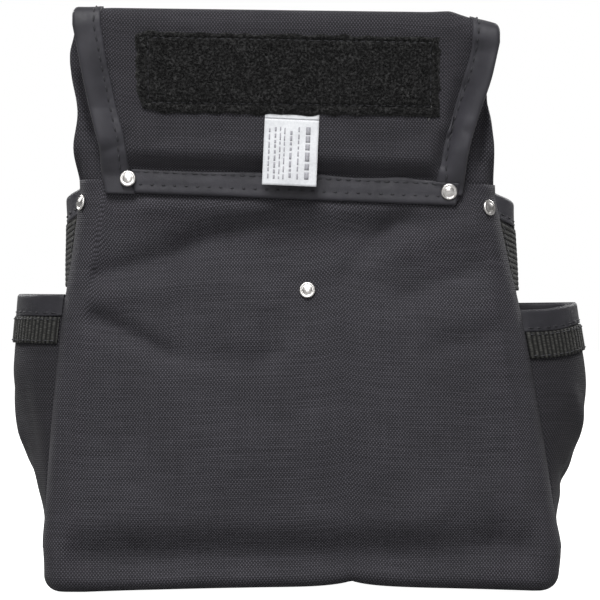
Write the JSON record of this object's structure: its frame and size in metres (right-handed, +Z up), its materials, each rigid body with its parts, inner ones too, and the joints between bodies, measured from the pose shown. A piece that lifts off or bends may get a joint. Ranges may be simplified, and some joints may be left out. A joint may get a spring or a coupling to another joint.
{
  "type": "electrician tool pouch",
  "caption": "Open-topped nylon tool pouch with a belt tunnel at its back, side and front pockets, folded bindings, ribbed webbing, set rivets and a hanging cloth label.",
  "frame": {"origin": "on the floor, under the middle of the pouch's bounding box", "axes": "+Z up; -Y towards the belt side with the tunnel and the loop patch; +Y towards the tool side; +X to the right seen from the belt side"},
  "size_m": [0.2822, 0.1186, 0.2871],
  "materials": {
    "ballistic_nylon": "basket-woven coated nylon, matte with a slight sheen",
    "binding_tape": "smooth taffeta tape, satin",
    "ribbed_webbing": "ribbed elastic webbing, matte",
    "loop_fastener": "fuzzy loop pile",
    "label_cloth": "smooth white label cloth",
    "nickel": "polished nickel plate"
  },
  "bodies": {
    "pouch": {"rear_panel": "ballistic_nylon", "front_panel": "ballistic_nylon", "gusset_left": "ballistic_nylon", "gusset_right": "ballistic_nylon", "base_panel": "ballistic_nylon", "tunnel_flap": "ballistic_nylon", "tunnel_back_panel": "ballistic_nylon", "side_pocket_left": "ballistic_nylon", "side_pocket_right": "ballistic_nylon", "front_pocket": "ballistic_nylon", "tool_sleeve_left": "ballistic_nylon", "tool_sleeve_centre": "ballistic_nylon", "tool_sleeve_right": "ballistic_nylon", "inner_pocket": "ballistic_nylon", "flap_binding_left": "binding_tape", "flap_binding_right": "binding_tape", "flap_binding_bottom": "binding_tape", "rim_binding_left": "binding_tape", "rim_binding_right": "binding_tape", "rim_binding_front": "binding_tape", "side_pocket_binding_left": "binding_tape", "side_pocket_binding_right": "binding_tape", "front_pocket_binding": "binding_tape", "tool_sleeve_binding_left": "binding_tape", "tool_sleeve_binding_centre": "binding_tape", "tool_sleeve_binding_right": "binding_tape", "inner_pocket_binding": "binding_tape", "side_webbing_left": "ribbed_webbing", "side_webbing_right": "ribbed_webbing", "side_pocket_webbing_left": "ribbed_webbing", "side_pocket_webbing_right": "ribbed_webbing", "front_pocket_webbing": "ribbed_webbing", "loop_patch": "loop_fastener", "flap_rivet_left_cap": "nickel", "flap_rivet_left_back": "nickel", "flap_rivet_right_cap": "nickel", "flap_rivet_right_back": "nickel", "side_rivet_left_cap": "nickel", "side_rivet_left_back": "nickel", "side_rivet_right_cap": "nickel", "side_rivet_right_back": "nickel", "centre_rivet_cap": "nickel", "centre_rivet_back": "nickel", "front_rivet_left_cap": "nickel", "front_rivet_left_back": "nickel", "front_rivet_right_cap": "nickel", "front_rivet_right_back": "nickel"},
    "label": {"care_label": "label_cloth"}
  },
  "joints": [
    {"name": "label_flip", "type": "hinge", "parent": "pouch", "child": "label", "pos_m": [-0.0039, -0.05783, 0.23152], "axis": [-0.999, 0, 0.0436], "range_deg": [0, 130]}
  ]
}
